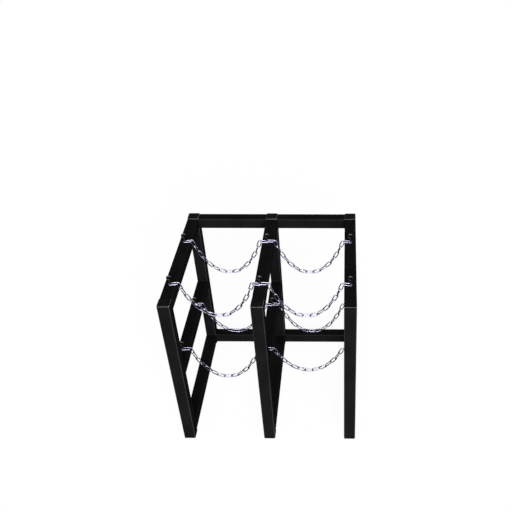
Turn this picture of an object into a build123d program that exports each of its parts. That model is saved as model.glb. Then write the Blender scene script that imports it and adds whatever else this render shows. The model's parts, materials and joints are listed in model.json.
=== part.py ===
"""Free-standing rack of welded square tube that keeps four gas cylinders upright behind chains.

Three side frames stand side by side and make two bays. Each bay takes a front and a rear
cylinder, and each cylinder is held by an upper and a lower chain, hooked across the bay.
The origin is on the floor under the middle of the rack, with X across it and Y to the back.
"""

from build123d import *

import math
import os

# Steel tube, the same in the whole frame
tube_side = 50.8
tube_wall = 3.0
tube_corner = 6.0
least_bore_corner = 0.5

# Frame
frame_pitch = 365.0
rack_depth = 676.0
top_rail_height = 787.0
middle_rail_height = 424.0
floor_gap = 10.0

# Plastic plugs in both ends of every post
cap_thickness = 2.5
foot_thickness = 3.0
plug_chamfer = 1.0
stem_depth = 16.0
stem_wall = 2.5
stem_clearance = 0.25

# Chain hooks, bent from round bar
hook_bar = 6.0
hook_height = 46.0
hook_eye_radius = 9.0
hook_neck_radius = 5.0
hook_tip_angle = 20.0
front_hook_setback = 141.0
rear_hook_setback = 441.0

# Chain links
link_wire = 4.5
link_pitch = 33.0
link_opening = 9.5
link_play = 0.5
end_link_rise = 4.1
chain_slack = 1.6
short_chain_slack = 1.4

# Flats that stand for round forms on the pieces that repeat most
wire_side_count = 4
bar_side_count = 6
link_end_side_count = 4
hook_chord_angle = 45.0

# Search for the shape of a hanging chain
steepest_slope_step = 100.0
halving_count = 60

bore_side = tube_side - 2 * tube_wall
bore_corner = max(tube_corner - tube_wall, least_bore_corner)
front_face = -rack_depth / 2
back_face = rack_depth / 2
front_post_y = front_face + tube_side / 2
rear_post_y = back_face - tube_side / 2
frame_places = {"left": -frame_pitch, "middle": 0.0, "right": frame_pitch}
bays = {"left": ("left", "middle"), "right": ("middle", "right")}
hook_rows = {"front": front_face + front_hook_setback, "rear": front_face + rear_hook_setback}
hook_levels = {"upper": top_rail_height, "lower": middle_rail_height}
bottom_rail_height = floor_gap + tube_side

# A flat link's own end wires are pivots; an upright link hangs from its neighbours' end wires
flat_link_length = link_pitch + link_wire
upright_link_length = link_pitch - link_wire - 2 * link_play
hook_gap = hook_bar / 2 + link_play + link_wire / 2


def flat_cornered(side, corner_radius):
    """Square whose corners are cut by flats that touch a rounding of the given radius."""
    return chamfer(Rectangle(side, side).vertices(), corner_radius * (2 - math.sqrt(2)))


def tube(length):
    """Square tube with rounded corners, standing on the origin along +Z."""
    outer = RectangleRounded(tube_side, tube_side, tube_corner)
    return extrude(outer - flat_cornered(bore_side, bore_corner), amount=length)


def post(x, y):
    """Upright tube from its foot plug up to the level of the top rails."""
    return Pos(x, y, foot_thickness) * tube(top_rail_height - foot_thickness)


def side_rail(x, top):
    """Rail from a front post back to the rear post of one side frame."""
    length = rack_depth - 2 * tube_side
    start = front_face + tube_side
    return Pos(x, start, top - tube_side / 2) * Rot(-90, 0, 0) * tube(length)


def cross_rail(x_from, x_to, top):
    """Rail between the rear posts of two side frames."""
    length = x_to - x_from - tube_side
    return Pos(x_from + tube_side / 2, rear_post_y, top - tube_side / 2) * Rot(0, 90, 0) * tube(length)


def plug(head_thickness):
    """Post plug: a chamfered head on the tube's end and a hollow stem down the bore."""
    head = extrude(flat_cornered(tube_side, tube_corner), amount=head_thickness)
    chamfer_size = min(plug_chamfer, head_thickness / 2)
    head = chamfer(head.faces().sort_by(Axis.Z)[-1].edges(), chamfer_size)
    stem_side = bore_side - 2 * stem_clearance
    stem_inner = Rectangle(stem_side - 2 * stem_wall, stem_side - 2 * stem_wall)
    stem = extrude(flat_cornered(stem_side, bore_corner) - stem_inner, amount=-stem_depth)
    return head + stem


def post_cap(x, y):
    """Plug that closes the top of a post."""
    return Pos(x, y, top_rail_height) * plug(cap_thickness)


def post_foot(x, y):
    """Plug that the post stands on."""
    return Pos(x, y, foot_thickness) * Rot(180, 0, 0) * plug(foot_thickness)


def bend_points(centre, radius, start, end):
    """Points round a bend in the XZ plane, from one angle to another in degrees, ends included."""
    count = max(2, math.ceil(abs(end - start) / hook_chord_angle))
    angles = [math.radians(start + (end - start) * i / count) for i in range(count + 1)]
    return [(centre[0] + radius * math.cos(a), 0, centre[1] + radius * math.sin(a)) for a in angles]


def hook_bar_path():
    """Centre line of a hook: a shank that leans into an eye, left open on its right side."""
    eye_centre = (0, hook_height - hook_bar / 2 - hook_eye_radius)
    reach = hook_eye_radius + hook_neck_radius
    neck_drop = math.sqrt(reach**2 - hook_neck_radius**2)
    neck_centre = (-hook_neck_radius, eye_centre[1] - neck_drop)
    neck_turn = math.degrees(math.atan2(neck_drop, hook_neck_radius))
    neck = bend_points(neck_centre, hook_neck_radius, 0, neck_turn)
    eye = bend_points(eye_centre, hook_eye_radius, neck_turn + 180, hook_tip_angle)
    return [(0, 0, 0)] + neck + eye[1:]


def hook():
    """One chain hook, standing on the origin with its eye in the XZ plane."""
    points = [Vector(*p) for p in hook_bar_path()]
    section = Plane.XY * RegularPolygon(hook_bar / 2, bar_side_count)
    return sweep(section, path=Wire.make_polygon(points, close=False), transition=Transition.RIGHT)


def link_end_points():
    """Corners of the centre line round one end of a link, from its lower side to its upper side."""
    turn_radius = (link_opening + link_wire) / 2
    step = 180.0 / link_end_side_count
    corner_radius = turn_radius / math.cos(math.radians(step / 2))
    angles = [math.radians(-90 + step * (i + 0.5)) for i in range(link_end_side_count)]
    centre = link_pitch / 2 + link_wire / 2 - turn_radius
    return [(centre + corner_radius * math.cos(a), corner_radius * math.sin(a)) for a in angles]


def chain_link():
    """One link round the origin with its length along X, lying on one edge of its wire."""
    right = link_end_points()
    left = [(-x, -y) for x, y in right]
    side = right[0][1]
    points = [Vector(0, side, 0)] + [Vector(x, y, 0) for x, y in right + left]
    section_plane = Plane(origin=(0, side, 0), x_dir=(0, 0, -1), z_dir=(1, 0, 0))
    section = section_plane * RegularPolygon(link_wire / 2, wire_side_count)
    return sweep(section, path=Wire.make_polygon(points, close=True), transition=Transition.RIGHT)


def place_link(link, start, length, angle, upright):
    """Link whose two wires are crossed at a start point and at a length from it, at an angle."""
    roll = 90 if upright else 0
    return Pos(*start) * Rot(0, -angle, 0) * Pos(length / 2, 0, 0) * Rot(roll, 0, 0) * link


def next_point(start, length, angle):
    """End of a link that starts at a point in the XZ plane."""
    slope = math.radians(angle)
    return (start[0] + length * math.cos(slope), start[1], start[2] + length * math.sin(slope))


def odd_link_count(length):
    """Nearest odd count of links for a length, so that both end links can lie flat."""
    return 2 * round((length / link_pitch - 1) / 2) + 1


def hang_angles(lengths, span):
    """Slope of each link in degrees when links hang between two points at one height."""
    steps = [i - (len(lengths) - 1) / 2 for i in range(len(lengths))]
    steepness_low, steepness_high = 0.0, steepest_slope_step
    for _ in range(halving_count):
        steepness = (steepness_low + steepness_high) / 2
        reach = sum(length / math.hypot(1, steepness * s) for length, s in zip(lengths, steps))
        if reach > span:
            steepness_low = steepness
        else:
            steepness_high = steepness
    return [math.degrees(math.atan(steepness * s)) for s in steps]


def end_link_height(stacked):
    """Height of an end link's wire at its hook, on the rail or over the next bay's end link."""
    if not stacked:
        return link_wire / 2
    lap = 2 * hook_gap / flat_link_length
    return 1.5 * link_wire + lap * end_link_rise


def end_link_angle(stacked):
    """Slope of an end link from its hook to the first hanging link."""
    rise = link_wire / 2 + end_link_rise - end_link_height(stacked)
    return math.degrees(math.asin(rise / flat_link_length))


def end_link_reach(stacked):
    """Distance across the bay from a hook's centre to the first hanging link's pivot."""
    return flat_link_length * math.cos(math.radians(end_link_angle(stacked))) - hook_gap


def is_stacked(x, direction):
    """Whether an end link lies on another one: on the middle frame the right bay's are on top."""
    return abs(x) < frame_pitch / 2 and direction > 0


def end_links(x_from, x_to, y, z):
    """The two links that lie on the rails, round the hooks at the ends of one chain."""
    link = chain_link()
    links = []
    for x, direction in ((x_from, 1), (x_to, -1)):
        stacked = is_stacked(x, direction)
        start = (-hook_gap, 0, end_link_height(stacked))
        lying = place_link(link, start, flat_link_length, end_link_angle(stacked), False)
        turned = lying if direction > 0 else Rot(0, 0, 180) * lying
        links.append(Pos(x, y, z) * turned)
    return links


def hanging_links(x_from, x_to, y, z, slack):
    """The links that hang free between the two end links of one chain, upright and flat in turn."""
    link = chain_link()
    x_start = x_from + end_link_reach(is_stacked(x_from, 1))
    span = x_to - end_link_reach(is_stacked(x_to, -1)) - x_start
    count = odd_link_count(slack * span)
    lengths = [flat_link_length if i % 2 else upright_link_length for i in range(count)]
    links = []
    point = (x_start, y, z + link_wire / 2 + end_link_rise)
    for index, angle in enumerate(hang_angles(lengths, span)):
        links.append(place_link(link, point, lengths[index], angle, index % 2 == 0))
        point = next_point(point, lengths[index], angle)
    return links


def side_frame_nodes():
    """Posts, rails, plugs and hooks of the three side frames, by name."""
    nodes = {}
    for side, x in frame_places.items():
        nodes[f"{side}_front_post"] = post(x, front_post_y)
        nodes[f"{side}_rear_post"] = post(x, rear_post_y)
        nodes[f"{side}_top_rail"] = side_rail(x, top_rail_height)
        nodes[f"{side}_middle_rail"] = side_rail(x, middle_rail_height)
        nodes[f"{side}_bottom_rail"] = side_rail(x, bottom_rail_height)
        for end, y in (("front", front_post_y), ("rear", rear_post_y)):
            nodes[f"{side}_{end}_cap"] = post_cap(x, y)
            nodes[f"{side}_{end}_foot"] = post_foot(x, y)
        for row, y in hook_rows.items():
            for level, z in hook_levels.items():
                nodes[f"{side}_{row}_{level}_hook"] = Pos(x, y, z) * hook()
    return nodes


def bay_nodes():
    """Cross rails and chains of the two bays, by name."""
    nodes = {}
    for bay, (from_side, to_side) in bays.items():
        x_from, x_to = frame_places[from_side], frame_places[to_side]
        nodes[f"{bay}_upper_cross_rail"] = cross_rail(x_from, x_to, top_rail_height)
        nodes[f"{bay}_lower_cross_rail"] = cross_rail(x_from, x_to, bottom_rail_height)
        for row, y in hook_rows.items():
            for level, z in hook_levels.items():
                short = (bay, row, level) == ("right", "front", "lower")
                slack = short_chain_slack if short else chain_slack
                name = f"{bay}_{row}_{level}"
                nodes[f"{name}_end_links"] = Compound(end_links(x_from, x_to, y, z))
                nodes[f"{name}_chain"] = Compound(hanging_links(x_from, x_to, y, z, slack))
    return nodes


os.makedirs("parts", exist_ok=True)
for node_name, shape in (side_frame_nodes() | bay_nodes()).items():
    export_step(shape, f"parts/{node_name}.step")
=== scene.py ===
"""Looks of a free-standing rack for gas cylinders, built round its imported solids.

Lengths are metres: X runs across the bays, Y to the cross rails at the back, Z up from the floor.
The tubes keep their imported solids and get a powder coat. The hooks, chains and post plugs are
modelled again in finer form, and weld beads are added where tubes and hooks are joined.
"""

import json
import logging
import math
from dataclasses import dataclass
from enum import Enum
from types import TracebackType
from typing import Callable

import bmesh
import bpy
from mathutils import Matrix, Vector


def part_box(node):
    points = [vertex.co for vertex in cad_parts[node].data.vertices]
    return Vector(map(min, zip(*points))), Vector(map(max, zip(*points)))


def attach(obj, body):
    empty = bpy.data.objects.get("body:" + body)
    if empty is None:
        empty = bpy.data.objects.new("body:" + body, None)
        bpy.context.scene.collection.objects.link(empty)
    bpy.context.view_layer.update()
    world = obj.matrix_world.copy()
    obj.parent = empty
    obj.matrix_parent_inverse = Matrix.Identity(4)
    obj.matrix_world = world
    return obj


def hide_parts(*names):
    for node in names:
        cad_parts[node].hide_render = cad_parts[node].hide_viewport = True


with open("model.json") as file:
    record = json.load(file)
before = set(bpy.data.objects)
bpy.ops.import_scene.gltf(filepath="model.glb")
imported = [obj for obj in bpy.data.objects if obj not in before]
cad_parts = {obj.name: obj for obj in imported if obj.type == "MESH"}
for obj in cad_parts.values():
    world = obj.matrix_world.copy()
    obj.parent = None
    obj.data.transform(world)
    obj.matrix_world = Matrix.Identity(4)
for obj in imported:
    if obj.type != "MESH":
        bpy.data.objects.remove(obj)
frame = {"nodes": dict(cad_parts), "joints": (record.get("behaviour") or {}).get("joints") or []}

LOG = logging.getLogger("rack")
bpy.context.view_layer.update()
ROOT_BODY = "frame"
MILLIMETRE = 0.001
TOUCHING = 0.01 * MILLIMETRE
QUARTER_TURN = 90
HALF_TURN = 180
# Name of the points' value that sets the painted highlight on the hooks, full at their tops.
TOP_LIGHT_MARK = "painted_top_light"

Colour = tuple[float, float, float]
Span = tuple[float, float]
Piece = bpy.types.Object
Socket = bpy.types.NodeSocket

# Parts of a noise pattern that a value and a colour run over.
NOISE_MIDDLE: Span = (0.3, 0.7)
COLOUR_MIDDLE: Span = (0.35, 0.65)
# Widest part of the normal on a flat side and on an edge, and how much of the edge gets the painted
# highlight.
FLAT_TO_EDGE: Span = (0.93, 0.74)
EDGE_LIGHT_SHARE: Span = (0.55, 1.0)
# Upward part of the normal on an upright edge and on a level one.
UPRIGHT_TO_LEVEL: Span = (0.1, 0.5)


class Slot(Enum):
    """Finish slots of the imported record."""

    FRAME = "frame_paint"
    HOOK = "hook_paint"
    PLUG = "plug_plastic"
    CHAIN = "chain_zinc"


class Side(Enum):
    """The three side frames, from left to right."""

    LEFT = "left"
    MIDDLE = "middle"
    RIGHT = "right"


class Row(Enum):
    """The two rows of hooks, one for each row of cylinders."""

    FRONT = "front"
    REAR = "rear"


class Level(Enum):
    """The two heights at which chains are hung."""

    UPPER = "upper"
    LOWER = "lower"


class Bay(Enum):
    """The two bays between the side frames."""

    LEFT = "left"
    RIGHT = "right"

    def ends(self) -> tuple[Side, Side]:
        """Side frames that the bay's chains hang between, left one first."""
        return (Side.LEFT, Side.MIDDLE) if self is Bay.LEFT else (Side.MIDDLE, Side.RIGHT)


# ---------------------------------------------------------------- modelling by hand


def deselect_all() -> None:
    """Leaves nothing selected, because an operator acts on all that is."""
    bpy.ops.object.select_all(action="DESELECT")
    bpy.context.view_layer.objects.active = None


def pick(piece: Piece) -> None:
    """Makes one piece the only selected and the active object.

    Args:
        piece: The piece that the next operator acts on.
    """
    deselect_all()
    piece.select_set(True)
    bpy.context.view_layer.objects.active = piece


class Editing:
    """Edit mode on one piece, left again at the end of the block."""

    def __init__(self, piece: Piece) -> None:
        """Keeps the piece to edit."""
        self.piece = piece

    def __enter__(self) -> "Editing":
        """Enters edit mode with the whole mesh selected.

        Returns:
            This editing, to act on the piece with.
        """
        pick(self.piece)
        bpy.ops.object.mode_set(mode="EDIT")
        bpy.ops.mesh.select_all(action="SELECT")
        return self

    def __exit__(
        self,
        kind: type[BaseException] | None,
        error: BaseException | None,
        trace: TracebackType | None,
    ) -> None:
        """Goes back to object mode."""
        bpy.ops.object.mode_set(mode="OBJECT")

    def choose_edges(self, test: Callable[[Vector, Vector], bool]) -> None:
        """Selects the edges whose two ends pass a test.

        Args:
            test: Takes the places of an edge's two ends.
        """
        bpy.ops.mesh.select_mode(type="EDGE")
        bpy.ops.mesh.select_all(action="DESELECT")
        mesh = bmesh.from_edit_mesh(self.piece.data)
        for edge in mesh.edges:
            edge.select_set(test(edge.verts[0].co, edge.verts[1].co))
        bmesh.update_edit_mesh(self.piece.data)

    def draw_out(self, step: Vector) -> None:
        """Extrudes the selected end of a wire by a straight step."""
        move = {"value": tuple(step), "orient_type": "GLOBAL"}
        bpy.ops.mesh.extrude_region_move(TRANSFORM_OT_translate=move)

    def swell(self, factor: float) -> None:
        """Scales the selected end of a wire about its own centre.

        Args:
            factor: New size over the old one.
        """
        mesh = bmesh.from_edit_mesh(self.piece.data)
        chosen = [vertex.co for vertex in mesh.verts if vertex.select]
        centre = sum(chosen, Vector()) / len(chosen)
        bpy.ops.transform.resize(value=(factor, factor, factor), center_override=tuple(centre))

    def bend(self, degrees: float, centre: Vector, axis: Vector, steps: int) -> None:
        """Spins the selected end of a wire round a centre.

        Args:
            degrees: Turn by the right-hand rule about the axis.
            centre: Centre of the bend.
            axis: Direction of the bend's axis.
            steps: Count of straight steps in the bend.
        """
        turn = -math.radians(degrees)  # the operator turns against the right-hand rule
        bpy.ops.mesh.spin(steps=steps, angle=turn, center=tuple(centre), axis=tuple(axis))

    def close_ring(self, sides: int) -> None:
        """Joins a wire's first and last end, which lie on each other, into one ring.

        Args:
            sides: Count of the wire's sides.
        """
        bpy.ops.mesh.select_mode(type="FACE")
        bpy.ops.mesh.select_all(action="DESELECT")
        bpy.ops.mesh.select_face_by_sides(number=sides, type="EQUAL")
        bpy.ops.mesh.delete(type="ONLY_FACE")
        bpy.ops.mesh.select_all(action="SELECT")
        bpy.ops.mesh.remove_doubles(threshold=TOUCHING)

    def face_outwards(self) -> None:
        """Turns every face outwards."""
        bpy.ops.mesh.select_all(action="SELECT")
        bpy.ops.mesh.normals_make_consistent(inside=False)


def wire_end(name: str, radius: float, sides: int, place: Vector, turn: Vector) -> Piece:
    """Adds the filled disc that a bent wire is drawn out from.

    Args:
        name: Name of the piece.
        radius: Radius of the wire.
        sides: Count of the wire's sides.
        place: Centre of the disc.
        turn: Turn of the disc about X, Y and Z in radians, from one that faces up.

    Returns:
        The disc, with its place in its mesh.
    """
    deselect_all()
    bpy.ops.mesh.primitive_circle_add(
        vertices=sides, radius=radius, fill_type="NGON", location=place, rotation=turn
    )
    disc = bpy.context.active_object
    disc.name = name
    settle(disc)
    return disc


def settle(piece: Piece) -> None:
    """Puts a piece's place, turn and size into its mesh."""
    pick(piece)
    bpy.ops.object.transform_apply(location=True, rotation=True, scale=True)


def smooth(piece: Piece, degrees: float) -> None:
    """Shades a piece smooth up to an angle between faces."""
    pick(piece)
    bpy.ops.object.shade_smooth_by_angle(angle=math.radians(degrees))


def join(pieces: list[Piece]) -> Piece:
    """Joins several pieces into the first one.

    Args:
        pieces: The pieces, one or more.

    Returns:
        The first piece, which holds them all.
    """
    deselect_all()
    for piece in pieces:
        piece.select_set(True)
    bpy.context.view_layer.objects.active = pieces[0]
    if len(pieces) > 1:
        bpy.ops.object.join()
    return bpy.context.active_object


def copies(pattern: Piece, name: str, places: list[Matrix]) -> Piece:
    """Sets copies of one modelled pattern at several places and joins them.

    Args:
        pattern: The pattern, modelled round the origin.
        name: Name of the joined piece.
        places: Place of each copy.

    Returns:
        One piece that holds all the copies, with its place in its mesh.
    """
    made = []
    for place in places:
        copy = pattern.copy()
        copy.data = pattern.data.copy()
        copy.data.transform(place)
        bpy.context.scene.collection.objects.link(copy)
        made.append(copy)
    piece = join(made)
    piece.name = name
    piece.data.name = name
    return piece


def discard(pattern: Piece) -> None:
    """Deletes a pattern once its copies are made.

    Args:
        pattern: The pattern, which nothing else uses.
    """
    mesh = pattern.data
    bpy.data.objects.remove(pattern)
    bpy.data.meshes.remove(mesh)


def finish_piece(piece: Piece, material: bpy.types.Material, body: str) -> None:
    """Gives a new piece its material and the body that it rides on.

    Args:
        piece: The new piece.
        material: Its only material.
        body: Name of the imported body.
    """
    piece.data.materials.clear()
    piece.data.materials.append(material)
    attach(piece, body)
    LOG.info("%s rides on %s", piece.name, body)


# ---------------------------------------------------------------- finishes


class ShaderTree:
    """Nodes of one material, on the piece's own coordinates."""

    def __init__(self, name: str) -> None:
        """Starts a material with a single principled shader.

        Args:
            name: Name of the material.
        """
        self.material = bpy.data.materials.new(name)
        self.material.use_nodes = True
        tree = self.material.node_tree
        tree.nodes.clear()
        self.nodes = tree.nodes
        self.links = tree.links
        self.output = self.nodes.new("ShaderNodeOutputMaterial")
        self.shader = self.nodes.new("ShaderNodeBsdfPrincipled")
        self.place = self.nodes.new("ShaderNodeTexCoord")
        self.links.new(self.shader.outputs["BSDF"], self.output.inputs["Surface"])

    def fix(self, socket: str, value: float) -> None:
        """Sets one number of the shader that is the same all over the surface."""
        self.shader.inputs[socket].default_value = value

    def drive(self, socket: str, source: Socket) -> None:
        """Links one input of the shader to a pattern."""
        self.links.new(source, self.shader.inputs[socket])

    def cloud(self, size: float, detail: float = 3.0, harshness: float = 0.5) -> Socket:
        """Adds a noise pattern whose blotches are about a given size.

        Args:
            size: Size of the blotches in metres.
            detail: Count of finer layers.
            harshness: Strength of the finer layers.

        Returns:
            The pattern's value, from 0 to 1.
        """
        noise = self.nodes.new("ShaderNodeTexNoise")
        noise.inputs["Scale"].default_value = 1.0 / size
        noise.inputs["Detail"].default_value = detail
        noise.inputs["Roughness"].default_value = harshness
        self.links.new(self.place.outputs["Object"], noise.inputs["Vector"])
        return noise.outputs["Fac"]

    def remap(self, value: Socket, limits: Span, results: Span = (0.0, 1.0)) -> Socket:
        """Maps one span of values on another, and holds the value at its ends.

        Args:
            value: Value to map.
            limits: Values that give the first and the last result.
            results: First and last result.

        Returns:
            The mapped value.
        """
        mapped = self.nodes.new("ShaderNodeMapRange")
        mapped.inputs["From Min"].default_value = limits[0]
        mapped.inputs["From Max"].default_value = limits[1]
        mapped.inputs["To Min"].default_value = results[0]
        mapped.inputs["To Max"].default_value = results[1]
        self.links.new(value, mapped.inputs["Value"])
        return mapped.outputs["Result"]

    def span(self, pattern: Socket, results: Span) -> Socket:
        """Stretches the middle of a pattern over a span of values."""
        return self.remap(pattern, NOISE_MIDDLE, results)

    def colours(self, pattern: Socket, dark: Colour, light: Colour) -> Socket:
        """Runs from a dark to a light colour over the middle of a pattern.

        Args:
            pattern: Pattern from 0 to 1.
            dark: Colour under the pattern's middle.
            light: Colour over the pattern's middle.

        Returns:
            The colour.
        """
        ramp = self.nodes.new("ShaderNodeValToRGB")
        ramp.color_ramp.elements[0].position = COLOUR_MIDDLE[0]
        ramp.color_ramp.elements[0].color = (*dark, 1.0)
        ramp.color_ramp.elements[1].position = COLOUR_MIDDLE[1]
        ramp.color_ramp.elements[1].color = (*light, 1.0)
        self.links.new(pattern, ramp.inputs["Fac"])
        return ramp.outputs["Color"]

    def lighten_edges_as_highlight(
        self,
        colour: Socket,
        highlight_tone: Colour,
        pattern: Socket,
        level_edge_light_share: float,
    ) -> Socket:
        """Paints highlights: lightens a colour where the surface turns between two flat sides.

        Args:
            colour: Colour of the flat sides.
            highlight_tone: Colour of the painted highlight on an edge.
            pattern: Pattern that breaks the painted highlight up.
            level_edge_light_share: Share of the painted highlight on edges between a level side and
                an upright one.

        Returns:
            The colour with its rubbed edges.
        """
        turn = self.nodes.new("ShaderNodeVectorMath")
        turn.operation = "ABSOLUTE"
        self.links.new(self.place.outputs["Normal"], turn.inputs[0])
        split = self.nodes.new("ShaderNodeSeparateXYZ")
        self.links.new(turn.outputs["Vector"], split.inputs["Vector"])
        widest = self.number("MAXIMUM", split.outputs["X"], split.outputs["Y"])
        widest = self.number("MAXIMUM", widest, split.outputs["Z"])
        # Painted highlight: edges between flat sides get a lighter colour, less on level edges.
        edge = self.remap(widest, FLAT_TO_EDGE)
        broken = self.product(edge, self.span(pattern, EDGE_LIGHT_SHARE))
        level = self.remap(split.outputs["Z"], UPRIGHT_TO_LEVEL, (1.0, level_edge_light_share))
        return self.blend(self.product(broken, level), colour, highlight_tone)

    def blend(self, mask: Socket, under: Socket, over: Colour) -> Socket:
        """Lays a colour over another one where a mask is 1.

        Args:
            mask: Share of the upper colour, from 0 to 1.
            under: Colour that is covered.
            over: Colour that covers it.

        Returns:
            The mixed colour.
        """
        mix = self.nodes.new("ShaderNodeMix")
        mix.data_type = "RGBA"
        colour_in, colour_over = (
            socket for socket in mix.inputs if socket.identifier.endswith("_Color")
        )
        colour_over.default_value = (*over, 1.0)
        self.links.new(mask, mix.inputs["Factor"])
        self.links.new(under, colour_in)
        return next(socket for socket in mix.outputs if socket.identifier.endswith("_Color"))

    def facing_up(self, least: float, full: float) -> Socket:
        """Mask of the surfaces that face up.

        Args:
            least: Upward part of the normal where the mask starts.
            full: Upward part of the normal where the mask is 1.

        Returns:
            The mask, from 0 to 1.
        """
        split = self.nodes.new("ShaderNodeSeparateXYZ")
        self.links.new(self.place.outputs["Normal"], split.inputs["Vector"])
        return self.remap(split.outputs["Z"], (least, full))

    def painted(self, name: str) -> Socket:
        """Reads a value that the piece's own points carry.

        Args:
            name: Name of the points' value.

        Returns:
            The value.
        """
        read = self.nodes.new("ShaderNodeAttribute")
        read.attribute_name = name
        return read.outputs["Fac"]

    def product(self, one: Socket, other: Socket) -> Socket:
        """Multiplies two masks or patterns."""
        return self.number("MULTIPLY", one, other)

    def number(self, operation: str, *sources: Socket) -> Socket:
        """Adds one step of arithmetic on two values.

        Args:
            operation: Kind of arithmetic.
            sources: The two values.

        Returns:
            The result.
        """
        step = self.nodes.new("ShaderNodeMath")
        step.operation = operation
        for index, source in enumerate(sources):
            self.links.new(source, step.inputs[index])
        return step.outputs["Value"]

    def relief(self, pattern: Socket, depth: float) -> Socket:
        """Turns a pattern into bumps of a given depth in metres.

        Args:
            pattern: Height of the bumps, from 0 to 1.
            depth: Depth of the bumps in metres.

        Returns:
            The bumped normal.
        """
        bump = self.nodes.new("ShaderNodeBump")
        bump.inputs["Strength"].default_value = 1.0
        bump.inputs["Distance"].default_value = depth
        self.links.new(pattern, bump.inputs["Height"])
        return bump.outputs["Normal"]


@dataclass(frozen=True)
class BlackCoat:
    """Black paint or plastic under a thin gloss, clouded, finely rippled and with painted
    highlights along its edges.

    Attributes:
        name: Name of the material.
        dark: Darkest colour.
        light: Lightest colour.
        painted_edge_light: Colour of the painted highlights on the edges.
        cloud_size: Size of the colour's blotches.
        roughness: Least and most roughness under the gloss.
        ripple_size: Size of the ripples.
        ripple_depth: Depth of the ripples.
        gloss: Strength of the gloss.
        gloss_roughness: Roughness of the gloss.
        level_edge_light_share: Share of the painted highlight on edges between a level side and an
            upright one.
    """

    name: str
    dark: Colour
    light: Colour
    painted_edge_light: Colour
    cloud_size: float
    roughness: Span
    ripple_size: float
    ripple_depth: float
    gloss: float
    gloss_roughness: float
    level_edge_light_share: float

    def make(self) -> bpy.types.Material:
        """Builds the coat as a material.

        Returns:
            The material.
        """
        tree = ShaderTree(self.name)
        broad = tree.cloud(self.cloud_size)
        fine = tree.cloud(self.ripple_size, detail=2.0)
        colour = tree.colours(broad, self.dark, self.light)
        ripples = tree.relief(fine, self.ripple_depth)
        tree.fix("Specular IOR Level", 0.0)
        tree.fix("Coat Weight", self.gloss)
        tree.fix("Coat Roughness", self.gloss_roughness)
        # Painted highlights along the edges between flat sides.
        painted_edge_light = tree.lighten_edges_as_highlight(colour, self.painted_edge_light, broad, self.level_edge_light_share)
        tree.drive("Base Color", painted_edge_light)
        tree.drive("Roughness", tree.span(broad, self.roughness))
        tree.drive("Normal", ripples)
        tree.drive("Coat Normal", ripples)
        return tree.material


@dataclass(frozen=True)
class GlossWithPaintedTop:
    """Black gloss paint with a painted highlight: a bright metal patch on the sides that face up,
    where light from above falls.

    Attributes:
        name: Name of the material.
        paint: Colour of the paint.
        highlight_tone: Colour of the painted highlight, as bright steel.
        patch_size: Size of the patches that break the painted highlight up.
        patch_harshness: Strength of the patches' finer layers.
        roughness: Least and most roughness.
        top_light_starts: Upward part of the normal where the painted highlight starts.
        top_light_full: Upward part of the normal where the painted highlight is full.
        top_light_share: Least and most of the painted highlight over the patches.
    """

    name: str
    paint: Colour
    highlight_tone: Colour
    patch_size: float
    patch_harshness: float
    roughness: Span
    top_light_starts: float
    top_light_full: float
    top_light_share: Span

    def make(self) -> bpy.types.Material:
        """Builds the paint as a material.

        Returns:
            The material.
        """
        tree = ShaderTree(self.name)
        patches = tree.cloud(self.patch_size, harshness=self.patch_harshness)
        light_patches = tree.span(patches, self.top_light_share)
        facing = tree.facing_up(self.top_light_starts, self.top_light_full)
        # Painted highlight: bright metal laid on the faces that face up, strongest at the hook's
        # top.
        top_light_mask = tree.product(tree.product(facing, light_patches), tree.painted(TOP_LIGHT_MARK))
        paint = tree.colours(patches, self.paint, tuple(2 * part for part in self.paint))
        tree.drive("Base Color", tree.blend(top_light_mask, paint, self.highlight_tone))
        tree.drive("Metallic", top_light_mask)
        tree.drive("Roughness", tree.span(patches, self.roughness))
        return tree.material


@dataclass(frozen=True)
class ZincPlate:
    """Bright zinc on wire, with fine draw marks and duller patches.

    Attributes:
        name: Name of the material.
        dull: Colour of the duller patches.
        bright: Colour of the brightest zinc.
        patch_size: Size of the patches.
        roughness: Least and most roughness.
        grain_size: Size of the fine marks.
        grain_depth: Depth of the fine marks.
    """

    name: str
    dull: Colour
    bright: Colour
    patch_size: float
    roughness: Span
    grain_size: float
    grain_depth: float

    def make(self) -> bpy.types.Material:
        """Builds the plating as a material.

        Returns:
            The material.
        """
        tree = ShaderTree(self.name)
        patches = tree.cloud(self.patch_size)
        grain = tree.cloud(self.grain_size, detail=2.0)
        tree.fix("Metallic", 1.0)
        tree.drive("Base Color", tree.colours(patches, self.dull, self.bright))
        tree.drive("Roughness", tree.span(patches, self.roughness))
        tree.drive("Normal", tree.relief(grain, self.grain_depth))
        return tree.material


POWDER_COAT = BlackCoat(
    name="black_powder_coat",
    dark=(0.0052, 0.0052, 0.0056),
    light=(0.0074, 0.0074, 0.0080),
    # Painted highlight on the frame's edges, most on the posts' upright corners.
    painted_edge_light=(0.045, 0.045, 0.048),
    cloud_size=0.11,
    roughness=(0.45, 0.6),
    ripple_size=0.0016,
    ripple_depth=0.00005,
    gloss=0.08,
    gloss_roughness=0.28,
    level_edge_light_share=0.12,
)
MOULDED_PLASTIC = BlackCoat(
    name="black_moulded_plastic",
    dark=(0.0060, 0.0060, 0.0064),
    light=(0.0085, 0.0085, 0.0090),
    # Painted highlight on the plugs' rims and corners, far lighter than the plastic.
    painted_edge_light=(0.34, 0.34, 0.35),
    cloud_size=0.03,
    roughness=(0.45, 0.6),
    ripple_size=0.0007,
    ripple_depth=0.00004,
    gloss=0.16,
    gloss_roughness=0.32,
    level_edge_light_share=1.0,
)
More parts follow.
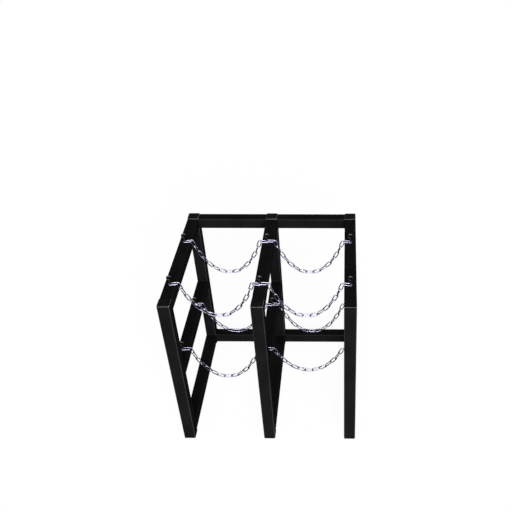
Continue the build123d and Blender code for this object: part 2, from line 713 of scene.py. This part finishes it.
HOOK_PAINT = GlossWithPaintedTop(
    name="black_gloss_with_top_highlight",
    paint=(0.0050, 0.0050, 0.0054),
    # Painted highlight on the hooks' tops, as bright metal.
    highlight_tone=(0.78, 0.78, 0.80),
    patch_size=0.006,
    patch_harshness=0.7,
    roughness=(0.22, 0.36),
    top_light_starts=0.78,
    top_light_full=0.95,
    top_light_share=(0.6, 1.0),
)
ZINC_PLATE = ZincPlate(
    name="bright_zinc_plate",
    dull=(0.45, 0.43, 0.58),
    bright=(0.73, 0.71, 0.92),
    patch_size=0.009,
    roughness=(0.20, 0.34),
    grain_size=0.0011,
    grain_depth=0.00003,
)


# ---------------------------------------------------------------- chains


@dataclass
class ChainLink:
    """One oval link of round wire, butt-welded in the middle of one side.

    The wire is drawn a skin thinner than it is all round, so that a chain that swings to its limit
    stays clear of the links it hangs from.
    """

    wire: float = 0.0045
    skin: float = 0.00012
    inner_length: float = 0.033
    opening: float = 0.0095
    sides: int = 10
    end_steps: int = 6
    weld_length: float = 0.0036
    weld_swelling: float = 1.13
    weld_shoulder: float = 0.0009

    @property
    def turn_radius(self) -> float:
        """Radius of the wire's centre line round an end."""
        return (self.opening + self.wire) / 2

    @property
    def outer_length(self) -> float:
        """Length between the centre lines of the two end wires."""
        return self.inner_length + self.wire

    def build(self) -> Piece:
        """Models the link flat on the origin, with its length along X.

        Returns:
            The link's pattern.
        """
        turn = self.turn_radius
        end_x = self.outer_length / 2 - turn
        facing_right = Vector((0, math.pi / 2, 0))
        radius = self.wire / 2 - self.skin
        link = wire_end("link_pattern", radius, self.sides, Vector((0, -turn, 0)), facing_right)
        up = Vector((0, 0, 1))
        with Editing(link) as edit:
            edit.draw_out(Vector((end_x, 0, 0)))
            edit.bend(HALF_TURN, Vector((end_x, 0, 0)), up, self.end_steps)
            self._draw_welded_side(edit, end_x)
            edit.bend(HALF_TURN, Vector((-end_x, 0, 0)), up, self.end_steps)
            edit.draw_out(Vector((end_x, 0, 0)))
            edit.close_ring(self.sides)
            edit.face_outwards()
        smooth(link, degrees=60)
        return link

    def _draw_welded_side(self, edit: Editing, end_x: float) -> None:
        """Draws the side that holds the weld, with a slight swelling in its middle.

        Args:
            edit: Edit mode on the link, with the wire's end selected.
            end_x: Distance from the link's middle to the start of its bend.
        """
        plain = end_x - self.weld_length / 2 - self.weld_shoulder
        edit.draw_out(Vector((-plain, 0, 0)))
        edit.draw_out(Vector((-self.weld_shoulder, 0, 0)))
        edit.swell(self.weld_swelling)
        edit.draw_out(Vector((-self.weld_length, 0, 0)))
        edit.draw_out(Vector((-self.weld_shoulder, 0, 0)))
        edit.swell(1 / self.weld_swelling)
        edit.draw_out(Vector((-plain, 0, 0)))


@dataclass
class ChainHang:
    """How one chain lies on its hooks and hangs between them.

    The two end links lie flat round the hooks. The links between them hang upright and flat in
    turn, each with a share of the chain's weight, so their slopes follow a hanging chain's.
    """

    link: ChainLink
    from_x: float
    to_x: float
    hook_y: float
    rail_z: float
    pivot_z: float
    from_stacked: bool
    count: int
    hook_bar: float = 0.006
    play: float = 0.0005
    steepest_step: float = 100.0
    halvings: int = 60

    @property
    def hook_gap(self) -> float:
        """Distance from a hook's centre to the end wire of the link round it."""
        return self.hook_bar / 2 + self.play + self.link.wire / 2

    @property
    def upright_length(self) -> float:
        """Distance between an upright link's pivots in its neighbours' end wires."""
        return self.link.inner_length - self.link.wire - 2 * self.play

    @property
    def rise(self) -> float:
        """Rise of the pivot over a wire that lies on the rail."""
        return self.pivot_z - self.rail_z - self.link.wire / 2

    def _lying_height(self, stacked: bool) -> float:
        """Height of an end link's wire at its hook, on the rail or over the next bay's link.

        Args:
            stacked: Whether the link lies over the next bay's link.

        Returns:
            Height of the wire's centre over the rail.
        """
        if not stacked:
            return self.link.wire / 2
        lap = 2 * self.hook_gap / self.link.outer_length
        over_a_wire = 1.5 * self.link.wire
        return over_a_wire + lap * self.rise

    def _lying_slope(self, stacked: bool) -> float:
        """Slope in radians of an end link, from its hook to the first hanging link."""
        climb = self.link.wire / 2 + self.rise - self._lying_height(stacked)
        return math.asin(climb / self.link.outer_length)

    def _reach(self, stacked: bool) -> float:
        """Distance across the bay from a hook to the first hanging link's pivot."""
        return self.link.outer_length * math.cos(self._lying_slope(stacked)) - self.hook_gap

    def _placed(self, start: Vector, length: float, slope: float, upright: bool) -> Matrix:
        """Place of a link between a start point and a point at a slope from it.

        Args:
            start: First pivot of the link.
            length: Distance between the pivots.
            slope: Climb from the first pivot to the second in radians.
            upright: Whether the link stands on its side.

        Returns:
            Place of the link, which is modelled flat on the origin.
        """
        roll = math.pi / 2 if upright else 0.0
        return (
            Matrix.Translation(start)
            @ Matrix.Rotation(-slope, 4, "Y")
            @ Matrix.Translation((length / 2, 0, 0))
            @ Matrix.Rotation(roll, 4, "X")
        )

    def end_places(self) -> list[Matrix]:
        """Places of the two end links round their hooks.

        Returns:
            The places, left one first.
        """
        places = []
        for x, turned, stacked in (
            (self.from_x, 0.0, self.from_stacked),
            (self.to_x, math.pi, False),
        ):
            start = Vector((-self.hook_gap, 0, self._lying_height(stacked)))
            lying = self._placed(start, self.link.outer_length, self._lying_slope(stacked), False)
            hook = Matrix.Translation((x, self.hook_y, self.rail_z))
            places.append(hook @ Matrix.Rotation(turned, 4, "Z") @ lying)
        return places

    def _slopes(self, lengths: list[float], span: float) -> list[float]:
        """Slopes in radians of links that hang between two points at one height.

        Args:
            lengths: Pivot distance of each link.
            span: Distance between the two points.

        Returns:
            The slope of each link.
        """
        steps = [index - (len(lengths) - 1) / 2 for index in range(len(lengths))]
        low, high = 0.0, self.steepest_step
        for _ in range(self.halvings):
            middle = (low + high) / 2
            reach = sum(
                length / math.hypot(1, middle * step) for length, step in zip(lengths, steps)
            )
            low, high = (middle, high) if reach > span else (low, middle)
        return [math.atan(low * step) for step in steps]

    def hanging_places(self) -> list[Matrix]:
        """Places of the links that hang free between the end links.

        Returns:
            The places, from left to right.
        """
        point = Vector((self.from_x + self._reach(self.from_stacked), self.hook_y, self.pivot_z))
        span = self.to_x - self._reach(False) - point.x
        lengths = [
            self.link.outer_length if index % 2 else self.upright_length
            for index in range(self.count)
        ]
        places = []
        for index, slope in enumerate(self._slopes(lengths, span)):
            places.append(self._placed(point, lengths[index], slope, index % 2 == 0))
            point = point + lengths[index] * Vector((math.cos(slope), 0, math.sin(slope)))
        return places


@dataclass
class Chains:
    """All the chains of the rack, each a swinging length and two links on the hooks."""

    material: bpy.types.Material
    full_count: int = 15
    short_count: int = 13

    def build(self) -> None:
        """Models one link and sets its copies along every chain."""
        link = ChainLink()
        pattern = link.build()
        for joint in frame["joints"]:
            self._hang(joint, link, pattern)
        discard(pattern)

    def _hang(self, joint: dict, link: ChainLink, pattern: Piece) -> None:
        """Sets the links of one chain on its swing joint.

        Args:
            joint: The chain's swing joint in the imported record.
            link: Sizes of a link.
            pattern: The modelled link.
        """
        name = joint["name"].removesuffix("_chain_swing")
        bay, row, level = name.split("_")
        from_side, to_side = Bay(bay).ends()
        hooks = [f"{side.value}_{row}_{level}_hook" for side in (from_side, to_side)]
        from_x, to_x = (RackPlan.frame_x(side) for side in (from_side, to_side))
        short = (bay, row, level) == (Bay.RIGHT.value, Row.FRONT.value, Level.LOWER.value)
        hang = ChainHang(
            link=link,
            from_x=from_x,
            to_x=to_x,
            hook_y=joint["pos_m"][1],
            rail_z=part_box(hooks[0])[0].z,
            pivot_z=joint["pos_m"][2],
            from_stacked=from_side is Side.MIDDLE,
            count=self.short_count if short else self.full_count,
        )
        swinging = copies(pattern, f"{name}_hanging_links", hang.hanging_places())
        finish_piece(swinging, self.material, joint["child"])
        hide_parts(f"{name}_chain")
        lying = copies(pattern, f"{name}_hooked_links", hang.end_places())
        finish_piece(lying, self.material, ROOT_BODY)
        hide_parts(f"{name}_end_links")


# ---------------------------------------------------------------- hooks


@dataclass
class ChainHook:
    """Hook bent from round bar: a shank that leans into an eye, open on its right side."""

    bar: float = 0.006
    height: float = 0.046
    eye_radius: float = 0.009
    neck_radius: float = 0.005
    tip_angle: float = 20.0
    sides: int = 16
    neck_steps: int = 5
    eye_steps: int = 18
    tip_rounding: float = 0.0019
    tip_steps: int = 3
    # Least painted highlight, under the eye's middle.
    least_top_light: float = 0.12

    def build(self) -> Piece:
        """Models the hook standing on the origin, with its eye in the XZ plane.

        Returns:
            The hook's pattern.
        """
        eye_centre = Vector((0, 0, self.height - self.bar / 2 - self.eye_radius))
        reach = self.eye_radius + self.neck_radius
        neck_drop = math.sqrt(reach**2 - self.neck_radius**2)
        neck_centre = Vector((-self.neck_radius, 0, eye_centre.z - neck_drop))
        neck_turn = math.degrees(math.atan2(neck_drop, self.neck_radius))
        eye_turn = neck_turn + HALF_TURN - self.tip_angle
        hook = wire_end("hook_pattern", self.bar / 2, self.sides, Vector(), Vector())
        towards_front = Vector((0, -1, 0))
        with Editing(hook) as edit:
            edit.draw_out(Vector((0, 0, neck_centre.z)))
            edit.bend(neck_turn, neck_centre, towards_front, self.neck_steps)
            edit.bend(-eye_turn, eye_centre, towards_front, self.eye_steps)
            bpy.ops.mesh.bevel(
                offset=self.tip_rounding,
                offset_type="OFFSET",
                segments=self.tip_steps,
                affect="EDGES",
            )
            edit.face_outwards()
        self._mark_top_light(hook, eye_centre.z)
        smooth(hook, degrees=50)
        return hook

    def _mark_top_light(self, hook: Piece, eye_z: float) -> None:
        """Marks the painted highlight on the hook's points, full at the top and little under the
        eye's middle.

        Args:
            hook: The modelled hook.
            eye_z: Height of the eye's middle.
        """
        painted_top_light = hook.data.attributes.new(TOP_LIGHT_MARK, "FLOAT", "POINT")
        for vertex, mark in zip(hook.data.vertices, painted_top_light.data):
            share = (vertex.co.z - eye_z) / (self.height - eye_z)
            mark.value = self.least_top_light + (1 - self.least_top_light) * min(max(share, 0.0), 1.0)


@dataclass
class HookWeld:
    """Small rippled bead round the foot of a hook."""

    ring_radius: float = 0.0031
    bead_radius: float = 0.0009
    ring_steps: int = 36
    bead_sides: int = 8
    ripple_swelling: float = 1.12
    steps_per_ripple: int = 3
    nearness: float = 0.02 * MILLIMETRE

    def build(self) -> Piece:
        """Models the bead round the origin, half sunk in the rail's top.

        Returns:
            The bead's pattern.
        """
        deselect_all()
        bpy.ops.mesh.primitive_torus_add(
            major_radius=self.ring_radius,
            minor_radius=self.bead_radius,
            major_segments=self.ring_steps,
            minor_segments=self.bead_sides,
        )
        bead = bpy.context.active_object
        with Editing(bead) as edit:
            for index in range(0, self.ring_steps, self.steps_per_ripple):
                middle = 2 * math.pi * index / self.ring_steps
                self._choose_step(edit, middle)
                edit.swell(self.ripple_swelling)
            edit.face_outwards()
        smooth(bead, degrees=70)
        return bead

    def _choose_step(self, edit: Editing, middle: float) -> None:
        """Selects the ring of points at one angle round the bead.

        Args:
            edit: Edit mode on the bead.
            middle: Angle of the ring of points in radians.
        """
        away = Vector((-math.sin(middle), math.cos(middle), 0))
        ahead = Vector((math.cos(middle), math.sin(middle), 0))
        near = self.nearness
        edit.choose_edges(
            lambda a, b: all(abs(p.dot(away)) < near and p.dot(ahead) > 0 for p in (a, b))
        )


@dataclass
class Hooks:
    """All the hooks of the rack with the beads that weld them to the rails."""

    paint: bpy.types.Material
    coat: bpy.types.Material

    def build(self) -> None:
        """Models one hook and one bead and sets copies on every rail."""
        hook_pattern = ChainHook().build()
        weld_pattern = HookWeld().build()
        feet = []
        for side in Side:
            for row in Row:
                for level in Level:
                    name = f"{side.value}_{row.value}_{level.value}"
                    foot = RackPlan.hook_foot(side, row, level)
                    feet.append(Matrix.Translation(foot))
                    hook = copies(hook_pattern, f"{name}_bent_hook", [feet[-1]])
                    finish_piece(hook, self.paint, ROOT_BODY)
                    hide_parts(f"{name}_hook")
        welds = copies(weld_pattern, "hook_welds", feet)
        finish_piece(welds, self.coat, ROOT_BODY)
        discard(hook_pattern)
        discard(weld_pattern)


# ---------------------------------------------------------------- frame


class RackPlan:
    """Places on the rack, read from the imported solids."""

    @staticmethod
    def frame_x(side: Side) -> float:
        """Middle of one side frame across the rack."""
        low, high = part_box(f"{side.value}_front_post")
        return (low.x + high.x) / 2

    @staticmethod
    def hook_foot(side: Side, row: Row, level: Level) -> Vector:
        """Point on the rail's top where a hook stands."""
        low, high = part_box(f"{side.value}_{row.value}_{level.value}_hook")
        return Vector((RackPlan.frame_x(side), (low.y + high.y) / 2, low.z))


@dataclass
class TubeWeld:
    """Rippled weld bead all round the end of a rail, against a post.

    The bead fills the groove where the rail's side is flush with the post's rounded corner, and
    stands as a fillet where the rail meets the post's flat face.
    """

    radius: float = 0.0032
    corner: float = 0.006
    corner_steps: int = 5
    ripple_pitch: float = 0.0026
    points_per_ripple: int = 3
    ripple_height: float = 0.10
    bead_resolution: int = 1

    def _outline(self, half_width: float, low: float, high: float) -> list[Vector]:
        """Corners of the bead's rounded path in the XZ plane.

        Args:
            half_width: Distance from the rail's middle to the path at its sides.
            low: Height of the path under the rail.
            high: Height of the path over the rail.

        Returns:
            The corner points, in turn round the path.
        """
        points = []
        for corner_index, (side, level) in enumerate(((1, high), (-1, high), (-1, low), (1, low))):
            inner = 1 if level > 0 else -1
            centre = Vector((side * (half_width - self.corner), 0, level - inner * self.corner))
            for step in range(self.corner_steps + 1):
                angle = math.pi / 2 * (corner_index + step / self.corner_steps)
                points.append(centre + self.corner * Vector((math.cos(angle), 0, math.sin(angle))))
        return points

    def _evenly(self, corners: list[Vector]) -> list[Vector]:
        """Points along a closed path, evenly spaced at the ripples' own pitch.

        Args:
            corners: Corner points of the path, in turn.

        Returns:
            The points, in turn.
        """
        closed = corners + corners[:1]
        lengths = [(b - a).length for a, b in zip(closed, closed[1:])]
        count = round(sum(lengths) / self.ripple_pitch) * self.points_per_ripple
        spacing = sum(lengths) / count
        points, passed, wanted = [], 0.0, 0.0
        for start, end, length in zip(closed, closed[1:], lengths):
            while wanted < passed + length and len(points) < count:
                points.append(start.lerp(end, (wanted - passed) / length))
                wanted += spacing
            passed += length
        return points

    def build(self, half_width: float, low: float, high: float) -> Piece:
        """Models a bead round the origin, for a rail that runs along Y.

        Args:
            half_width: Distance from the rail's middle to the bead's centre line at its sides.
            low: Height of the bead's centre line under the rail, from the rail's middle.
            high: Height of the bead's centre line over the rail, from the rail's middle.

        Returns:
            The bead's pattern.
        """
        points = self._evenly(self._outline(half_width, low, high))
        path = bpy.data.curves.new("weld_pattern", "CURVE")
        path.dimensions = "3D"
        path.bevel_depth = self.radius
        path.bevel_resolution = self.bead_resolution
        spline = path.splines.new("POLY")
        spline.points.add(len(points) - 1)
        spline.use_cyclic_u = True
        for index, point in enumerate(points):
            spline.points[index].co = (*point, 1.0)
            phase = 2 * math.pi * index / self.points_per_ripple
            spline.points[index].radius = 1 + self.ripple_height * math.cos(phase)
        bead = bpy.data.objects.new("weld_pattern", path)
        bpy.context.scene.collection.objects.link(bead)
        pick(bead)
        bpy.ops.object.convert(target="MESH")
        bead = bpy.context.active_object
        with Editing(bead) as edit:
            edit.face_outwards()
        smooth(bead, degrees=60)
        return bead


@dataclass
class Welds:
    """Beads where the rails of the side frames and the cross rails meet the posts."""

    coat: bpy.types.Material
    bead: TubeWeld

    def _pattern(self, flush_top: bool) -> Piece:
        """Bead of one kind of rail, sunk at its sides and, if it is flush there, at its top.

        Args:
            flush_top: Whether the rail's top is level with the posts' tops.

        Returns:
            The bead's pattern.
        """
        low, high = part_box("left_top_rail")
        half = (high.x - low.x) / 2
        sunk = half - self.bead.radius * (1 + self.bead.ripple_height)
        return self.bead.build(sunk, -half, sunk if flush_top else half)

    def build(self) -> None:
        """Models the two kinds of bead and sets them on every rail's ends."""
        flush, fillet = self._pattern(True), self._pattern(False)
        for side in Side:
            self._dress(
                f"{side.value}_frame_welds",
                {f"{side.value}_top_rail": flush},
                [f"{side.value}_middle_rail", f"{side.value}_bottom_rail"],
                fillet,
            )
        for bay in Bay:
            self._dress(
                f"{bay.value}_cross_welds",
                {f"{bay.value}_upper_cross_rail": flush},
                [f"{bay.value}_lower_cross_rail"],
                fillet,
            )
        discard(flush)
        discard(fillet)

    def _dress(
        self,
        name: str,
        flush_rails: dict[str, Piece],
        fillet_rails: list[str],
        fillet: Piece,
    ) -> None:
        """Sets beads on both ends of some rails and joins them into one piece.

        Args:
            name: Name of the piece.
            flush_rails: Pattern for each rail that is flush with the posts' tops.
            fillet_rails: Rails that meet the posts' flat faces above and below.
            fillet: Pattern for those rails.
        """
        made = []
        for rail, pattern in (flush_rails | {rail: fillet for rail in fillet_rails}).items():
            made.append(copies(pattern, f"{name}_{rail}", self._end_places(rail)))
        joined = join(made)
        joined.name = name
        finish_piece(joined, self.coat, ROOT_BODY)

    def _end_places(self, rail: str) -> list[Matrix]:
        """Places of the beads at the two ends of a rail.

        Args:
            rail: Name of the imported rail.

        Returns:
            The two places.
        """
        low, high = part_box(rail)
        middle = (low + high) / 2
        along_x = high.x - low.x > high.y - low.y
        if not along_x:
            ends = [Vector((middle.x, y, middle.z)) for y in (low.y, high.y)]
            return [Matrix.Translation(end) for end in ends]
        ends = [Vector((x, middle.y, middle.z)) for x in (low.x, high.x)]
        return [Matrix.Translation(end) @ Matrix.Rotation(math.pi / 2, 4, "Z") for end in ends]


@dataclass
class PostPlug:
    """Moulded plug in a post's end, with a rounded rim round its flat face."""

    material: bpy.types.Material
    corner: float = 0.006
    corner_steps: int = 6
    rim: float = 0.0017
    rim_steps: int = 3

    def build(self, node: str, points_up: bool) -> None:
        """Models a plug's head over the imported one.

        Args:
            node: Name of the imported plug.
            points_up: Whether the plug closes the post's top, and not its foot.
        """
        post_low, post_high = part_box(node.rsplit("_", 1)[0] + "_post")
        low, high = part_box(node)
        if points_up:
            low = Vector((low.x, low.y, post_high.z))
        else:
            high = Vector((high.x, high.y, post_low.z))
        deselect_all()
        bpy.ops.mesh.primitive_cube_add(size=1.0, location=(low + high) / 2, scale=high - low)
        plug = bpy.context.active_object
        plug.name = f"{node}_head"
        settle(plug)
        face_z = high.z if points_up else low.z
        with Editing(plug) as edit:
            edit.choose_edges(lambda a, b: abs(a.z - b.z) > TOUCHING)
            bpy.ops.mesh.bevel(offset=self.corner, segments=self.corner_steps, affect="EDGES")
            edit.choose_edges(lambda a, b: all(abs(p.z - face_z) < TOUCHING for p in (a, b)))
            bpy.ops.mesh.bevel(offset=self.rim, segments=self.rim_steps, affect="EDGES")
            edit.face_outwards()
        smooth(plug, degrees=40)
        finish_piece(plug, self.material, ROOT_BODY)
        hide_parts(node)


@dataclass
class Frame:
    """The welded tubes with their coat, their weld beads and the plugs in the posts."""

    coat: bpy.types.Material
    plastic: bpy.types.Material

    def build(self) -> None:
        """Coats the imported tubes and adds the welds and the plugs."""
        for name, node in frame["nodes"].items():
            if name.endswith(("_post", "_rail")):
                node.data.materials.clear()
                node.data.materials.append(self.coat)
                LOG.info("%s coated", name)
        Welds(self.coat, TubeWeld()).build()
        plug = PostPlug(self.plastic)
        for side in Side:
            for row in Row:
                plug.build(f"{side.value}_{row.value}_cap", points_up=True)
                plug.build(f"{side.value}_{row.value}_foot", points_up=False)


# ---------------------------------------------------------------- studio


@dataclass(frozen=True)
class SkyLight:
    """A broad far light, like a large lit ceiling seen from one direction."""

    name: str
    azimuth: float
    elevation: float
    spread: float
    strength: float

    def build(self) -> None:
        """Adds the light; azimuth 0 shines from the front and 90 from the right, in degrees."""
        data = bpy.data.lights.new(self.name, "SUN")
        data.angle = math.radians(self.spread)
        data.energy = self.strength
        light = bpy.data.objects.new(self.name, data)
        # The small bright disc would burn the zinc out to white, so the boxes are mirrored instead.
        light.visible_glossy = False
        turn = Matrix.Rotation(math.radians(self.azimuth), 4, "Z")
        tilt = math.radians(QUARTER_TURN - self.elevation)
        light.matrix_world = turn @ Matrix.Rotation(tilt, 4, "X")
        bpy.context.scene.collection.objects.link(light)


@dataclass(frozen=True)
class SoftBox:
    """A rectangular soft light that points at the rack."""

    name: str
    place: tuple[float, float, float]
    width: float
    height: float
    power: float
    colour: Colour = (1.0, 1.0, 1.0)
    only_mirrored: bool = False

    def build(self, target: Vector) -> None:
        """Adds the light, turned to a target.

        Args:
            target: Point that the light faces.
        """
        data = bpy.data.lights.new(self.name, "AREA")
        data.shape = "RECTANGLE"
        data.size = self.width
        data.size_y = self.height
        data.energy = self.power
        data.color = self.colour
        light = bpy.data.objects.new(self.name, data)
        light.location = self.place
        light.rotation_euler = (target - light.location).to_track_quat("-Z", "Y").to_euler()
        light.visible_camera = False
        light.visible_diffuse = not self.only_mirrored
        bpy.context.scene.collection.objects.link(light)


@dataclass
class Studio:
    """Glowing floor, soft lights and the camera."""

    floor_size: float = 400.0
    floor_colour: Colour = (0.08, 0.08, 0.08)
    floor_glow: float = 0.94
    floor_roughness: float = 0.9
    horizon_strength: float = 0.40
    zenith_strength: float = 0.16
    ground_strength: float = 0.02
    ground_ends: float = 0.48
    horizon_starts: float = 0.49
    zenith_starts: float = 0.75
    target: tuple[float, float, float] = (0.0, 0.0, 0.4)
    camera_place: tuple[float, float, float] = (0.3479, -2.3064, 2.4780)
    look_down: float = 36.517
    look_left: float = 0.469
    roll: float = -0.101
    sensor_width: float = 36.0
    image_size: int = 512
    focal_pixels: float = 668.085
    centre_x_pixels: float = 341.901
    centre_y_pixels: float = 259.606
    ceiling: SkyLight = SkyLight(
        "ceiling_light", azimuth=12.0, elevation=24.0, spread=40.0, strength=4.6
    )
    boxes: tuple[SoftBox, ...] = (
        SoftBox("key_box", (-0.6, -3.0, 4.2), 6.0, 5.0, 420.0, only_mirrored=True),
        SoftBox(
            "side_box", (3.2, -1.4, 2.2), 3.0, 3.0, 40.0, (0.93, 0.94, 1.0), only_mirrored=True
        ),
    )

    def build(self) -> None:
        """Adds the floor, the lights and the camera."""
        self._add_floor()
        self.ceiling.build()
        for box in self.boxes:
            box.build(Vector(self.target))
        self._light_world()
        self._add_camera()

    def _add_floor(self) -> None:
        """Adds a floor that glows evenly, like a light table; it isn't part of the rack."""
        deselect_all()
        bpy.ops.mesh.primitive_plane_add(size=self.floor_size)
        floor = bpy.context.active_object
        floor.name = "studio_floor"
        tree = ShaderTree("studio_floor")
        tree.shader.inputs["Base Color"].default_value = (*self.floor_colour, 1.0)
        tree.shader.inputs["Emission Color"].default_value = (1.0, 1.0, 1.0, 1.0)
        tree.fix("Emission Strength", self.floor_glow)
        tree.fix("Roughness", self.floor_roughness)
        tree.fix("Specular IOR Level", 0.0)
        floor.data.materials.append(tree.material)
        floor.visible_glossy = False

    def _light_world(self) -> None:
        """Lights the scene from all round, most from the horizon and hardly from below."""
        world = bpy.data.worlds.new("studio_world")
        world.use_nodes = True
        nodes, links = world.node_tree.nodes, world.node_tree.links
        direction = nodes.new("ShaderNodeTexCoord")
        split = nodes.new("ShaderNodeSeparateXYZ")
        fade = nodes.new("ShaderNodeValToRGB")
        height = nodes.new("ShaderNodeMapRange")
        height.inputs["From Min"].default_value = -1.0
        steps = (
            (self.ground_ends, self.ground_strength),
            (self.horizon_starts, self.horizon_strength),
            (self.zenith_starts, self.zenith_strength),
        )
        fade.color_ramp.elements.new(0.5)
        for element, (position, strength) in zip(fade.color_ramp.elements, steps):
            element.position = position
            element.color = (strength, strength, strength, 1.0)
        links.new(direction.outputs["Generated"], split.inputs["Vector"])
        links.new(split.outputs["Z"], height.inputs["Value"])
        links.new(height.outputs["Result"], fade.inputs["Fac"])
        links.new(fade.outputs["Color"], nodes["Background"].inputs["Color"])
        bpy.context.scene.world = world
        bpy.context.scene.view_settings.view_transform = "Standard"

    def _add_camera(self) -> None:
        """Adds the camera, with its shift only for the framing."""
        data = bpy.data.cameras.new("camera")
        data.sensor_width = self.sensor_width
        data.lens = self.focal_pixels / self.image_size * self.sensor_width
        data.shift_x = -(self.centre_x_pixels - self.image_size / 2) / self.image_size
        data.shift_y = (self.centre_y_pixels - self.image_size / 2) / self.image_size
        camera = bpy.data.objects.new("camera", data)
        camera.matrix_world = (
            Matrix.Translation(self.camera_place)
            @ Matrix.Rotation(math.radians(self.look_left), 4, "Z")
            @ Matrix.Rotation(math.radians(QUARTER_TURN - self.look_down), 4, "X")
            @ Matrix.Rotation(math.radians(self.roll), 4, "Z")
        )
        bpy.context.scene.collection.objects.link(camera)
        bpy.context.scene.camera = camera


def main() -> None:
    """Builds every piece of the rack and the studio round it."""
    logging.basicConfig(level=logging.INFO, format="%(name)s: %(message)s")
    coat = POWDER_COAT.make()
    Frame(coat, MOULDED_PLASTIC.make()).build()
    Hooks(HOOK_PAINT.make(), coat).build()
    Chains(ZINC_PLATE.make()).build()
    Studio().build()


if __name__ == "__main__":
    main()
